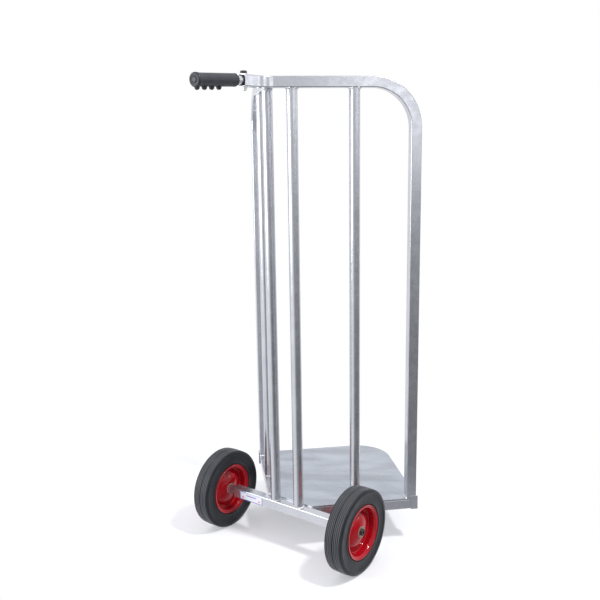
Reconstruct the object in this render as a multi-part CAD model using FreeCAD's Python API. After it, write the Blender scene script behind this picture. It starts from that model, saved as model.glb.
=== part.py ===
import FreeCAD, Part
import math
import os

# Corner hand truck: a V-shaped back of steel tube on two wheels, with a flat load plate in the V.
# +X is the truck's right, +Y points from the axle towards the load, +Z is up, the floor is z = 0.
# All sizes are in millimetres.

Vector = FreeCAD.Vector
UP = Vector(0, 0, 1)

# ---- overall sizes -----------------------------------------------------------------------------
WHEEL_DIAMETER = 200.0
WHEEL_TRACK = 400.0
FRAME_HEIGHT = 1120.0
BACK_TO_ORIGIN = 80.6

# ---- tube stock --------------------------------------------------------------------------------
SQUARE_TUBE = 25.0
SQUARE_WALL = 1.5
SQUARE_CORNER_R = 2.5
ROUND_TUBE = 25.0
ROUND_WALL = 1.5
HALF_TUBE = SQUARE_TUBE / 2

# ---- the V of the back -------------------------------------------------------------------------
WING_ANGLE = 45.0
INNER_UPRIGHT_X = 35.0
MIDDLE_UPRIGHT_S = 140.0
OUTER_UPRIGHT_S = 280.0
CORNER_BEND_R = 100.0
CORNER_BEND_TURN = 90.0
NECK_BEND_R = 61.0
NECK_X = -12.5
NECK_END_Y = -114.0

# ---- base --------------------------------------------------------------------------------------
AXLE_HEIGHT = WHEEL_DIAMETER / 2
CROSSBAR_HALF = 163.0
RAIL_END_S = 295.5
PLATE_THICKNESS = 3.0
PLATE_NOSE_R = 90.0
PLATE_SIDE_R = 6.0
GUSSET_WIDTH = 17.0
GUSSET_SHEET = 2.5
GUSSET_RISE = 6.0
LEG_Y = 345.0
LEG_FOOT_HEIGHT = 5.0
LEG_FOOT_DIAMETER = 28.0
LEG_PLUG_HEIGHT = 15.0
LOAD_FACE_SETBACK = 4.0

# ---- axle and wheels ---------------------------------------------------------------------------
STUB_DIAMETER = 20.0
STUB_SHANK_LENGTH = 60.0
HUB_LENGTH = 30.0
HUB_WALL = 1.4
BUSH_WALL = 1.6
BUSH_LENGTH = 12.0
BUSH_FLANGE = 1.0
TYRE_WIDTH = 45.0
TREAD_WIDTH = 40.0
TREAD_GROOVE_PITCH = 4.6
TREAD_GROOVE_WIDTH = 1.2
TREAD_GROOVE_DEPTH = 1.4
MID_GROOVE_WIDTH = 2.6
RIM_SHEET = 1.6
RIM_SEAT_X = 16.6
RIM_SEAT_R = 58.0
SPACER_WALL = 2.0
WASHER_LAP = 2.0
WASHER_THICKNESS = 1.5
SCREW_SHANK = 9.4
SCREW_HOLE = 10.0
SCREW_DEPTH = 22.0
SCREW_HEAD = 16.0
SCREW_HEAD_HEIGHT = 3.6
SCREW_SOCKET_AF = 8.0
SCREW_SOCKET_DEPTH = 2.8

# ---- handle ------------------------------------------------------------------------------------
HANDLE_INSERT = 48.0
HANDLE_OUTSIDE = 125.0
HANDLE_DROOP = 3.0
HANDLE_BEND_R = 200.0
NECK_BUSH_WALL = 1.0
NECK_BUSH_LENGTH = 20.0
NECK_BUSH_LIP = 1.6
NECK_BUSH_LIP_WALL = 2.0
GRIP_WALL = 3.5
GRIP_START = 7.5
GRIP_LENGTH = 122.0
GRIP_BUTT_FLARE = 1.0
GRIP_BUTT_LENGTH = 8.0
FINGER_PITCH = 21.2
FINGER_SETBACK = 1.1
FINGER_COUNT = 4
FINGER_R = 5.2
FINGER_HALF_WIDTH = 0.6
FINGER_DROP = 1.2
BOLT_FROM_END = 9.5
BOLT_SHANK = 8.0
BOLT_HEAD = 15.0
BOLT_HEAD_HEIGHT = 6.0
BOLT_WASHER = 17.0
BOLT_WASHER_THICKNESS = 1.5
NUT_AF = 13.0
NUT_HEIGHT = 5.0
NUT_COLLAR_D = 11.0
NUT_COLLAR_HEIGHT = 2.4

# ---- rating label ------------------------------------------------------------------------------
LABEL_X = (-141.0, -69.0)
LABEL_HEIGHT = 21.0
LABEL_THICKNESS = 0.4

# ---- clearances --------------------------------------------------------------------------------
RUNNING_CLEARANCE = 0.05
STATIC_GAP = 0.3
WHEEL_END_PLAY = 0.5

TOP_CENTRE_Z = FRAME_HEIGHT - HALF_TUBE
TOP_UNDERSIDE_Z = FRAME_HEIGHT - SQUARE_TUBE
BASE_TOP_Z = AXLE_HEIGHT + HALF_TUBE
PLATE_TOP_Z = BASE_TOP_Z + PLATE_THICKNESS
HUB_INNER = STUB_DIAMETER + 2 * BUSH_WALL
HUB_OUTER = HUB_INNER + 2 * HUB_WALL
HANDLE_TUBE = SQUARE_TUBE - 2 * SQUARE_WALL - 2 * NECK_BUSH_WALL
GRIP_DIAMETER = HANDLE_TUBE + 2 * GRIP_WALL
COS_WING = math.cos(math.radians(WING_ANGLE))
SIN_WING = math.sin(math.radians(WING_ANGLE))


# ---- shared shapes -----------------------------------------------------------------------------
def rounded_square(side, radius):
    """Flat square face on the XY plane, centred, with rounded corners."""
    block = Part.makeBox(side, side, 1, Vector(-side / 2, -side / 2, 0))
    corners = [e for e in block.Edges if abs(e.tangentAt(e.FirstParameter).z) > 0.99]
    block = block.makeFillet(radius, corners)
    return [f for f in block.Faces if f.CenterOfMass.z < 0.001][0]


def placed(face, origin, side_axis, along):
    """Stand a face drawn on XY at origin, its X along side_axis and its normal along the tube."""
    other = along.cross(side_axis)
    turn = FreeCAD.Rotation(side_axis, other, along, "ZXY")
    moved = face.copy()
    moved.Placement = FreeCAD.Placement(origin, turn)
    return moved


def square_sections():
    outer = rounded_square(SQUARE_TUBE, SQUARE_CORNER_R)
    inner = rounded_square(SQUARE_TUBE - 2 * SQUARE_WALL, SQUARE_CORNER_R - SQUARE_WALL)
    return outer, inner


def straight_square(start, end, side_axis):
    """Outer and inner solids of a straight run of square tube."""
    run = end - start
    along = Vector(run).normalize()
    return [placed(f, start, side_axis, along).extrude(run) for f in square_sections()]


def bent_square(start, along, side_axis, centre, axis, degrees):
    """Outer and inner solids of a bend in square tube, turned about centre."""
    return [placed(f, start, side_axis, along).revolve(centre, axis, degrees) for f in square_sections()]


def tube_from(runs):
    """One hollow tube from a chain of outer and inner solids."""
    outer = runs[0][0].multiFuse([r[0] for r in runs[1:]]) if len(runs) > 1 else runs[0][0]
    inner = runs[0][1].multiFuse([r[1] for r in runs[1:]]) if len(runs) > 1 else runs[0][1]
    return outer.removeSplitter().cut(inner.removeSplitter()).removeSplitter()


def round_tube(base, height, outer, wall, axis=UP):
    shell = Part.makeCylinder(outer / 2, height, base, axis)
    return shell.cut(Part.makeCylinder(outer / 2 - wall, height, base, axis))


def ring(x_low, x_high, outer_r, inner_r, y=0.0, z=AXLE_HEIGHT):
    """Washer, bush or spacer lying along X."""
    base = Vector(x_low, y, z)
    disc = Part.makeCylinder(outer_r, x_high - x_low, base, Vector(1, 0, 0))
    return disc.cut(Part.makeCylinder(inner_r, x_high - x_low, base, Vector(1, 0, 0)))


def mirrored(shape):
    return shape.mirror(Vector(0, 0, 0), Vector(1, 0, 0))


def right_wing(s, z):
    """Point on the right wing's centre line, s along the wing from the inner upright."""
    return Vector(INNER_UPRIGHT_X + SIN_WING * s, COS_WING * s, z)


WING_OUT = Vector(SIN_WING, COS_WING, 0)
WING_REAR = Vector(COS_WING, -SIN_WING, 0)


def one_solid(shape):
    solids = shape.Solids
    assert len(solids) == 1, len(solids)
    return solids[0]


def export(name, shape):
    moved = shape.copy()
    moved.translate(Vector(0, -BACK_TO_ORIGIN, 0))
    assert moved.isValid(), name
    moved.exportStep("parts/%s.step" % name)


# ---- base frame --------------------------------------------------------------------------------
def axle_crossbar():
    """Square tube across the truck, carrying a stub axle in each end."""
    start = Vector(-CROSSBAR_HALF, 0, AXLE_HEIGHT)
    end = Vector(CROSSBAR_HALF, 0, AXLE_HEIGHT)
    return tube_from([straight_square(start, end, Vector(0, 1, 0))])


def stub_axle():
    """Right stub axle: square shank inside the crossbar, turned journal, tapped end."""
    shank_face = rounded_square(SQUARE_TUBE - 2 * SQUARE_WALL, SQUARE_CORNER_R - SQUARE_WALL)
    start = Vector(CROSSBAR_HALF - STUB_SHANK_LENGTH, 0, AXLE_HEIGHT)
    shank = placed(shank_face, start, Vector(0, 1, 0), Vector(1, 0, 0))
    shank = shank.extrude(Vector(STUB_SHANK_LENGTH, 0, 0))
    journal_length = STUB_END_X - CROSSBAR_HALF
    journal_base = Vector(CROSSBAR_HALF, 0, AXLE_HEIGHT)
    journal = Part.makeCylinder(STUB_DIAMETER / 2, journal_length, journal_base, Vector(1, 0, 0))
    hole_base = Vector(STUB_END_X, 0, AXLE_HEIGHT)
    hole = Part.makeCylinder(SCREW_HOLE / 2, SCREW_DEPTH + 4, hole_base, Vector(-1, 0, 0))
    return one_solid(shank.fuse(journal).removeSplitter().cut(hole))


def base_rail():
    """Right base rail: square tube under the plate's rear edge, mitred to the crossbar."""
    start = right_wing(-20, AXLE_HEIGHT)
    end = right_wing(RAIL_END_S, AXLE_HEIGHT)
    rail = tube_from([straight_square(start, end, UP)])
    behind = Part.makeBox(600, 300, 100, Vector(-300, HALF_TUBE - 300, AXLE_HEIGHT - 50))
    return one_solid(rail.cut(behind))


def upright_strip():
    """Strip of the right wing that carries the uprights; its front edge bounds the face for the load."""
    front = WING_REAR * -(ROUND_TUBE / 2 + LOAD_FACE_SETBACK)
    reach = 2 * RAIL_END_S
    points = [right_wing(-reach, BASE_TOP_Z) + front, right_wing(reach, BASE_TOP_Z) + front]
    points.append(right_wing(reach, BASE_TOP_Z) + WING_REAR * 2 * SQUARE_TUBE)
    points.append(right_wing(-reach, BASE_TOP_Z) + WING_REAR * 2 * SQUARE_TUBE)
    points.append(points[0])
    strip = Part.Face(Part.makePolygon(points)).extrude(Vector(0, 0, PLATE_THICKNESS))
    return strip.common(Part.makeBox(reach, 2 * reach, FRAME_HEIGHT, Vector(0, -reach, 0)))


def toe_plate():
    """Flat steel plate on the base rails, square in plan with a well rounded nose."""
    slope = SIN_WING / COS_WING
    rear_y = ROUND_TUBE / 2
    rear_x = INNER_UPRIGHT_X + HALF_TUBE / COS_WING + rear_y * slope
    corner = right_wing(RAIL_END_S, BASE_TOP_Z) + WING_REAR * HALF_TUBE
    nose = Vector(0, corner.y + corner.x * slope, BASE_TOP_Z)
    points = [Vector(-rear_x, rear_y, BASE_TOP_Z), Vector(rear_x, rear_y, BASE_TOP_Z), corner, nose]
    points.append(Vector(-corner.x, corner.y, BASE_TOP_Z))
    points.append(points[0])
    plate = Part.Face(Part.makePolygon(points)).extrude(Vector(0, 0, PLATE_THICKNESS))
    upright_edges = [e for e in plate.Edges if e.Length < PLATE_THICKNESS + 0.01]
    plate = plate.makeFillet(PLATE_NOSE_R, [e for e in upright_edges if e.CenterOfMass.y > nose.y - 1])
    upright_edges = [e for e in plate.Edges if e.Length < PLATE_THICKNESS + 0.01]
    side_edges = [e for e in upright_edges if abs(e.CenterOfMass.x) > corner.x - 1]
    plate = plate.makeFillet(PLATE_SIDE_R, side_edges)
    strips = [upright_strip(), mirrored(upright_strip())]
    load_area = plate.cut(strips[0]).cut(strips[1])
    return one_solid(load_area.multiFuse([plate.common(strip) for strip in strips]))


def corner_gusset():
    """Right gusset: flat strip welded across the rail's end and the foot of the outer upright."""
    low = AXLE_HEIGHT - HALF_TUBE
    start = right_wing(RAIL_END_S - GUSSET_WIDTH, low) + WING_REAR * HALF_TUBE
    face = Part.Face(Part.makePolygon([
        start,
        start + WING_OUT * GUSSET_WIDTH,
        start + WING_OUT * GUSSET_WIDTH + WING_REAR * GUSSET_SHEET,
        start + WING_REAR * GUSSET_SHEET,
        start,
    ]))
    return face.extrude(Vector(0, 0, PLATE_TOP_Z - low + GUSSET_RISE))


def front_leg():
    """Round leg under the plate's nose that keeps the parked truck upright."""
    base = Vector(0, LEG_Y, LEG_FOOT_HEIGHT)
    return round_tube(base, BASE_TOP_Z - LEG_FOOT_HEIGHT, ROUND_TUBE, ROUND_WALL)


def front_leg_foot():
    """Plastic plug with a floor pad, pushed into the bottom of the leg."""
    pad = Part.makeCylinder(LEG_FOOT_DIAMETER / 2, LEG_FOOT_HEIGHT, Vector(0, LEG_Y, 0))
    pad = pad.makeFillet(1.2, [e for e in pad.Edges if e.CenterOfMass.z < 0.01])
    plug_r = ROUND_TUBE / 2 - ROUND_WALL - STATIC_GAP
    plug = Part.makeCylinder(plug_r, LEG_PLUG_HEIGHT, Vector(0, LEG_Y, LEG_FOOT_HEIGHT))
    return one_solid(pad.fuse(plug).removeSplitter())


# ---- the back ----------------------------------------------------------------------------------
def inner_upright():
    """Right inner upright, standing on the crossbar."""
    base = Vector(INNER_UPRIGHT_X, 0, BASE_TOP_Z)
    return round_tube(base, TOP_UNDERSIDE_Z - BASE_TOP_Z, ROUND_TUBE, ROUND_WALL)


def middle_upright():
    """Right middle upright, standing on the plate over the base rail."""
    base = right_wing(MIDDLE_UPRIGHT_S, PLATE_TOP_Z)
    return round_tube(base, TOP_UNDERSIDE_Z - PLATE_TOP_Z, ROUND_TUBE, ROUND_WALL)


def outer_leg_runs():
    """Upright and corner bend shared by both hoops, drawn on the right wing."""
    foot = right_wing(OUTER_UPRIGHT_S, PLATE_TOP_Z)
    spring = right_wing(OUTER_UPRIGHT_S, TOP_CENTRE_Z - CORNER_BEND_R)
    upright = straight_square(foot, spring, WING_OUT)
    centre = right_wing(OUTER_UPRIGHT_S - CORNER_BEND_R, TOP_CENTRE_Z - CORNER_BEND_R)
    bend = bent_square(spring, UP, WING_OUT, centre, WING_REAR, CORNER_BEND_TURN)
    return [upright, bend]


def bolt_hole(diameter):
    base = Vector(NECK_X, BOLT_Y, TOP_UNDERSIDE_Z - 20)
    return Part.makeCylinder(diameter / 2, SQUARE_TUBE + 40, base)


def hoop_right():
    """Right hoop: outer upright, corner bend, top rail, then a bend into the handle neck."""
    top_start = right_wing(OUTER_UPRIGHT_S - CORNER_BEND_R, TOP_CENTRE_Z)
    top_end = right_wing(NECK_BEND_S, TOP_CENTRE_Z)
    top = straight_square(top_start, top_end, UP)
    centre = top_end + WING_REAR * NECK_BEND_R
    bend = bent_square(top_end, WING_OUT * -1, UP, centre, UP, 90 - WING_ANGLE)
    neck_start = Vector(NECK_X, centre.y, TOP_CENTRE_Z)
    neck = straight_square(neck_start, Vector(NECK_X, NECK_END_Y, TOP_CENTRE_Z), UP)
    hoop = tube_from(outer_leg_runs() + [top, bend, neck])
    return one_solid(hoop.cut(bolt_hole(BOLT_SHANK + 2 * STATIC_GAP)))


def hoop_left():
    """Left hoop: outer upright, corner bend and top rail, butted square against the right hoop."""
    top_start = right_wing(OUTER_UPRIGHT_S - CORNER_BEND_R, TOP_CENTRE_Z)
    meeting_s = HALF_TUBE - INNER_UPRIGHT_X / SIN_WING
    top = straight_square(top_start, right_wing(meeting_s, TOP_CENTRE_Z), UP)
    return one_solid(mirrored(tube_from(outer_leg_runs() + [top])))


# ---- handle ------------------------------------------------------------------------------------
def drooped(shape):
    """Turn a part drawn level behind the neck down by the handle's droop."""
    turned = shape.copy()
    pivot = Vector(NECK_X, NECK_END_Y, TOP_CENTRE_Z - HANDLE_BEND_R)
    turned.rotate(pivot, Vector(1, 0, 0), HANDLE_DROOP)
    return turned


def handle_tube():
    """Round tube held in the neck, bent slightly down towards the user."""
    mouth = Vector(NECK_X, NECK_END_Y, TOP_CENTRE_Z)
    back = Vector(0, -1, 0)
    pivot = Vector(NECK_X, NECK_END_Y, TOP_CENTRE_Z - HANDLE_BEND_R)
    solids = []
    for radius in (HANDLE_TUBE / 2, HANDLE_TUBE / 2 - ROUND_WALL):
        inside = Part.makeCylinder(radius, HANDLE_INSERT, mouth, Vector(0, 1, 0))
        disc = Part.Face(Part.Wire(Part.makeCircle(radius, mouth, back)))
        bend = disc.revolve(pivot, Vector(1, 0, 0), HANDLE_DROOP)
        outside = drooped(Part.makeCylinder(radius, HANDLE_OUTSIDE, mouth, back))
        solids.append(inside.multiFuse([bend, outside]).removeSplitter())
    tube = solids[0].cut(solids[1])
    return one_solid(tube.cut(bolt_hole(BOLT_SHANK + 2 * STATIC_GAP)))


def neck_bush():
    """Black plastic bush that centres the round handle tube in the square neck."""
    side = SQUARE_TUBE - 2 * SQUARE_WALL
    plug_face = rounded_square(side, SQUARE_CORNER_R - SQUARE_WALL)
    mouth = Vector(NECK_X, NECK_END_Y, TOP_CENTRE_Z)
    plug = placed(plug_face, mouth, UP, Vector(0, 1, 0)).extrude(Vector(0, NECK_BUSH_LENGTH, 0))
    lip_r = HANDLE_TUBE / 2 + NECK_BUSH_LIP_WALL
    lip = Part.makeCylinder(lip_r, NECK_BUSH_LIP, mouth, Vector(0, -1, 0))
    bore_base = mouth + Vector(0, -10, 0)
    bore = Part.makeCylinder(HANDLE_TUBE / 2 + STATIC_GAP, 60, bore_base, Vector(0, 1, 0))
    bush = plug.fuse(lip).removeSplitter().cut(bore)
    return one_solid(bush.cut(bolt_hole(BOLT_SHANK + 2 * STATIC_GAP)))


def handle_grip():
    """Moulded grip with a flared butt and finger ridges underneath."""
    mouth = Vector(NECK_X, NECK_END_Y, TOP_CENTRE_Z)
    back = Vector(0, -1, 0)
    start = mouth + back * GRIP_START
    butt_start = start + back * (GRIP_LENGTH - GRIP_BUTT_LENGTH)
    body = Part.makeCylinder(GRIP_DIAMETER / 2, GRIP_LENGTH - 2, start, back)
    butt = Part.makeCylinder(GRIP_DIAMETER / 2 + GRIP_BUTT_FLARE, GRIP_BUTT_LENGTH, butt_start, back)
    butt = butt.makeFillet(2.6, [e for e in butt.Edges if len(e.Vertexes) == 1])
    grip = body.fuse(butt)
    for index in range(FINGER_COUNT):
        y = butt_start.y - FINGER_SETBACK + FINGER_PITCH * index
        centre = Vector(NECK_X, y, TOP_CENTRE_Z - GRIP_DIAMETER / 2 - FINGER_DROP)
        left = centre - Vector(FINGER_HALF_WIDTH, 0, 0)
        right = centre + Vector(FINGER_HALF_WIDTH, 0, 0)
        ridge = Part.makeCylinder(FINGER_R, 2 * FINGER_HALF_WIDTH, left, Vector(1, 0, 0))
        ridge = ridge.multiFuse([Part.makeSphere(FINGER_R, left), Part.makeSphere(FINGER_R, right)])
        grip = grip.fuse(ridge)
    bore_length = HANDLE_OUTSIDE - GRIP_START + STATIC_GAP
    bore = Part.makeCylinder(HANDLE_TUBE / 2 + STATIC_GAP, bore_length, start, back)
    return one_solid(drooped(grip.removeSplitter().cut(bore)))


def handle_bolt():
    """Vertical bolt with a domed head through the neck and the handle tube."""
    seat = FRAME_HEIGHT + BOLT_WASHER_THICKNESS
    head = Part.makeCylinder(BOLT_HEAD / 2, BOLT_HEAD_HEIGHT, Vector(NECK_X, BOLT_Y, seat))
    head = head.makeFillet(2.6, [e for e in head.Edges if e.CenterOfMass.z > seat + BOLT_HEAD_HEIGHT - 0.01])
    bottom = TOP_UNDERSIDE_Z - BOLT_WASHER_THICKNESS - NUT_HEIGHT
    shank = Part.makeCylinder(BOLT_SHANK / 2, seat - bottom, Vector(NECK_X, BOLT_Y, bottom))
    return one_solid(head.fuse(shank).removeSplitter())


def handle_washers():
    """Flat washers under the bolt head and over the nut."""
    washers = []
    for z in (FRAME_HEIGHT, TOP_UNDERSIDE_Z - BOLT_WASHER_THICKNESS):
        base = Vector(NECK_X, BOLT_Y, z)
        disc = Part.makeCylinder(BOLT_WASHER / 2, BOLT_WASHER_THICKNESS, base)
        washers.append(disc.cut(Part.makeCylinder(BOLT_SHANK / 2 + STATIC_GAP, BOLT_WASHER_THICKNESS, base)))
    return Part.makeCompound(washers)


def hexagon(across_flats, base, axis, length):
    """Hexagonal prism about an axis."""
    corner_r = across_flats / math.sqrt(3)
    points = []
    for index in range(7):
        angle = math.radians(60 * index)
        points.append(Vector(corner_r * math.cos(angle), corner_r * math.sin(angle), 0))
    face = Part.Face(Part.makePolygon(points))
    face.Placement = FreeCAD.Placement(base, FreeCAD.Rotation(UP, axis))
    return face.extrude(axis * length)


def handle_nut():
    """Locking nut with a rounded collar on the lower end of the handle bolt."""
    seat = TOP_UNDERSIDE_Z - BOLT_WASHER_THICKNESS
    body = hexagon(NUT_AF, Vector(NECK_X, BOLT_Y, seat - NUT_HEIGHT), UP, NUT_HEIGHT)
    collar_base = Vector(NECK_X, BOLT_Y, seat - NUT_HEIGHT - NUT_COLLAR_HEIGHT)
    collar = Part.makeCylinder(NUT_COLLAR_D / 2, NUT_COLLAR_HEIGHT, collar_base)
    collar = collar.makeFillet(1.2, [e for e in collar.Edges if e.CenterOfMass.z < collar_base.z + 0.01])
    nut = body.fuse(collar).removeSplitter()
    thread = Part.makeCylinder(BOLT_SHANK / 2 + STATIC_GAP, NUT_HEIGHT, Vector(NECK_X, BOLT_Y, seat - NUT_HEIGHT))
    return one_solid(nut.cut(thread))


# ---- wheels (drawn about the origin with the outside towards +X, then moved onto the axle) ------
def revolved(points):
    """Solid turned about the X axis from (x, radius) points."""
    wire = Part.makePolygon([Vector(x, r, 0) for x, r in points + [points[0]]])
    return Part.Face(wire).revolve(Vector(0, 0, 0), Vector(1, 0, 0), 360)


def softened(points, rounds=2):
    """Corner-cut an open line of points so that pressed bends come out rounded."""
    for _ in range(rounds):
        cut = [points[0]]
        for (x0, r0), (x1, r1) in zip(points, points[1:]):
            cut.append((0.75 * x0 + 0.25 * x1, 0.75 * r0 + 0.25 * r1))
            cut.append((0.25 * x0 + 0.75 * x1, 0.25 * r0 + 0.75 * r1))
        points = cut + [points[-1]]
    return points


def sheet_profile(points, thickness):
    """Closed outline of a sheet that follows a line of points, thickened to one side."""
    offset = []
    for index, (x, r) in enumerate(points):
        x0, r0 = points[max(index - 1, 0)]
        x1, r1 = points[min(index + 1, len(points) - 1)]
        length = math.hypot(x1 - x0, r1 - r0)
        offset.append((x - thickness * (r1 - r0) / length, r + thickness * (x1 - x0) / length))
    return points + offset[::-1]


def tyre():
    """Solid rubber tyre with fine tread ribs and a stepped sidewall."""
    half = TYRE_WIDTH / 2
    tread = TREAD_WIDTH / 2
    radius = WHEEL_DIAMETER / 2
    side = [
        (tread, radius - 0.8), (tread + 1.2, radius - 2.0), (half, radius - 6.5), (half, radius - 10.0),
        (half - 1.0, radius - 11.0), (half - 2.0, radius - 17.0), (half - 2.4, radius - 24.0),
        (half - 2.0, radius - 30.0), (half - 1.4, radius - 31.5), (half - 1.6, radius - 33.5),
        (half - 3.0, radius - 35.2), (RIM_SEAT_X, radius - 35.6), (RIM_SEAT_X, RIM_SEAT_R + STATIC_GAP),
    ]
    crown = []
    for index in range(-4, 5):
        width = MID_GROOVE_WIDTH if index == 0 else TREAD_GROOVE_WIDTH
        x = index * TREAD_GROOVE_PITCH
        edge_r = radius - 0.8 * (x / tread) ** 2
        for dx, dr in ((-width / 2, 0), (-width / 2 + 0.3, -1), (width / 2 - 0.3, -1), (width / 2, 0)):
            crown.append((x + dx, edge_r + dr * TREAD_GROOVE_DEPTH))
    left = [(-x, r) for x, r in side[::-1]]
    return revolved(left + crown + side)


def rim_half():
    """Pressed outer rim half: flange, barrel, flat web at mid-plane and a cone out to the hub."""
    line = [
        (0.0, 49.0), (0.0, 52.6), (3.5, 54.6), (RIM_SEAT_X - 2.0, 56.0), (RIM_SEAT_X + RIM_SHEET, 58.0),
        (RIM_SEAT_X + RIM_SHEET + 0.2, 61.5), (RIM_SEAT_X + RIM_SHEET + 1.6, 64.0),
    ]
    bore = HUB_OUTER / 2 + STATIC_GAP
    cone = [(13.6, bore), (13.2, bore + 2.3), (12.4, bore + 5.7), (8.6, 33.0), (3.0, 42.0), (0.0, 46.0)]
    cone.append((0.0, 49.0))
    path = softened(cone, 2)[:-1] + softened(line, 2)
    return revolved(sheet_profile(path, -RIM_SHEET))


def hub_tube():
    half = HUB_LENGTH / 2 - BUSH_FLANGE
    return ring(-half, half, HUB_OUTER / 2, HUB_INNER / 2, 0.0, 0.0)


def hub_bush():
    """Outer flanged bush: barrel inside the hub tube, flange against its end."""
    end = HUB_LENGTH / 2
    bore = STUB_DIAMETER / 2 + RUNNING_CLEARANCE
    flange = ring(end - BUSH_FLANGE, end, HUB_OUTER / 2, bore, 0.0, 0.0)
    barrel = ring(end - BUSH_LENGTH, end - BUSH_FLANGE, HUB_INNER / 2 - STATIC_GAP, bore, 0.0, 0.0)
    return one_solid(flange.fuse(barrel).removeSplitter())


def on_axle(shape, side):
    """Move a wheel part to the right wheel, or mirror it to the left one."""
    moved = shape.copy()
    moved.translate(Vector(WHEEL_TRACK / 2, 0, AXLE_HEIGHT))
    return moved if side > 0 else mirrored(moved)


def wheel_screw():
    """Right retaining screw: button head with a hexagon socket."""
    seat = STUB_END_X + WASHER_THICKNESS
    base = Vector(seat, 0, AXLE_HEIGHT)
    head = Part.makeCylinder(SCREW_HEAD / 2, SCREW_HEAD_HEIGHT, base, Vector(1, 0, 0))
    head = head.makeFillet(1.6, [e for e in head.Edges if e.CenterOfMass.x > seat + SCREW_HEAD_HEIGHT - 0.01])
    shank_base = Vector(STUB_END_X - SCREW_DEPTH, 0, AXLE_HEIGHT)
    shank = Part.makeCylinder(SCREW_SHANK / 2, SCREW_DEPTH + WASHER_THICKNESS, shank_base, Vector(1, 0, 0))
    socket_base = Vector(seat + SCREW_HEAD_HEIGHT, 0, AXLE_HEIGHT)
    socket = hexagon(SCREW_SOCKET_AF, socket_base, Vector(-1, 0, 0), SCREW_SOCKET_DEPTH)
    return one_solid(head.fuse(shank).removeSplitter().cut(socket))


def label():
    """Thin rectangular sticker on the crossbar's rear face."""
    low = Vector(LABEL_X[0], -HALF_TUBE - LABEL_THICKNESS, AXLE_HEIGHT - LABEL_HEIGHT / 2)
    return Part.makeBox(LABEL_X[1] - LABEL_X[0], LABEL_THICKNESS, LABEL_HEIGHT, low)


HUB_INNER_FACE_X = WHEEL_TRACK / 2 - HUB_LENGTH / 2
HUB_OUTER_FACE_X = WHEEL_TRACK / 2 + HUB_LENGTH / 2
STUB_END_X = HUB_OUTER_FACE_X + WHEEL_END_PLAY
NECK_BEND_S = (NECK_BEND_R * (1 - COS_WING) + NECK_X - INNER_UPRIGHT_X) / SIN_WING
BOLT_Y = NECK_END_Y + BOLT_FROM_END

os.makedirs("parts", exist_ok=True)

stub_r = STUB_DIAMETER / 2
spacer = ring(CROSSBAR_HALF, HUB_INNER_FACE_X - WHEEL_END_PLAY, stub_r + SPACER_WALL, stub_r + STATIC_GAP)
washer = ring(STUB_END_X, STUB_END_X + WASHER_THICKNESS, stub_r + WASHER_LAP, SCREW_HOLE / 2)
bushes = [hub_bush(), mirrored(hub_bush())]

export("axle_crossbar", axle_crossbar())
export("toe_plate", toe_plate())
export("front_leg", front_leg())
export("front_leg_foot", front_leg_foot())
export("hoop_right", hoop_right())
export("hoop_left", hoop_left())
export("handle_tube", handle_tube())
export("neck_bush", neck_bush())
export("handle_grip", handle_grip())
export("handle_bolt", handle_bolt())
export("handle_washers", handle_washers())
export("handle_nut", handle_nut())
export("label", label())
export("wheel_washers", Part.makeCompound([washer, mirrored(washer)]))
export("wheel_screws", Part.makeCompound([wheel_screw(), mirrored(wheel_screw())]))

paired = {
    "stub_axle": stub_axle(),
    "axle_spacer": spacer,
    "base_rail": base_rail(),
    "corner_gusset": corner_gusset(),
    "inner_upright": inner_upright(),
    "middle_upright": middle_upright(),
}
for name, shape in paired.items():
    export(name + "_right", shape)
    export(name + "_left", mirrored(shape))

wheel_parts = {
    "tyre": tyre(),
    "rim_outer": rim_half(),
    "rim_inner": mirrored(rim_half()),
    "hub_tube": hub_tube(),
    "hub_bushes": Part.makeCompound(bushes),
}
for name, shape in wheel_parts.items():
    export(name + "_right", on_axle(shape, 1))
    export(name + "_left", on_axle(shape, -1))
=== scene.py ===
import bpy
import math
import random
from mathutils import Matrix, Vector


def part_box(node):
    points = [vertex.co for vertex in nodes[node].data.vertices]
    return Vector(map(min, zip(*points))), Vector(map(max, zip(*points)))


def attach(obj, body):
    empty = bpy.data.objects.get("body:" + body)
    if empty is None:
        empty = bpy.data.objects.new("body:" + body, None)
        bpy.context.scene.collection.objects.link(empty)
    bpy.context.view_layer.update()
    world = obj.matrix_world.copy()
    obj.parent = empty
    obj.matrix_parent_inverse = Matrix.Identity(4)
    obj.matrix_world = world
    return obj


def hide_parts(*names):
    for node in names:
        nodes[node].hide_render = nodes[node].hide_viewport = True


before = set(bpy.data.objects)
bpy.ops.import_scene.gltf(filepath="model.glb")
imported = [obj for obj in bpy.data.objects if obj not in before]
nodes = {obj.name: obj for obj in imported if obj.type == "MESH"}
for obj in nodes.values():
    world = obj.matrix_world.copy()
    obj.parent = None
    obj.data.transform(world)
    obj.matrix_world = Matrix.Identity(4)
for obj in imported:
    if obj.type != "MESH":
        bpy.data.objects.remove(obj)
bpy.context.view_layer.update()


# ---- Studio ------------------------------------------------------------------------------------
# The truck stands on a pale painted floor in a white surround that is dim on the truck's right,
# where three tall strip lights stand. A small lamp hangs high on the right, and a wide soft panel
# stands low behind the truck on its left.
CAMERA_PLACE = Vector((1.06512, -1.44785, 0.96609))
CAMERA_YAW = math.radians(36.62)
CAMERA_PITCH = math.radians(-11.31)
CAMERA_ROLL = math.radians(-0.84)
CAMERA_LENS = 45.54
FLOOR_HALF = 3.0
FLOOR_COLOUR = (0.86, 0.86, 0.90, 1)
FLOOR_FADE = (0.34, 0.80)
DIM_DIRECTION = (0.985, -0.174, 0.0)
DIM_SPREAD = (0.05, 0.75)
DIM_FALL = 9.0
DIM_CEILING = 0.01
SURROUND_BRIGHT = (0.93, 0.94, 0.97, 1)
SURROUND_GLOW = (0.52, 0.53, 0.55, 1)
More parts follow.
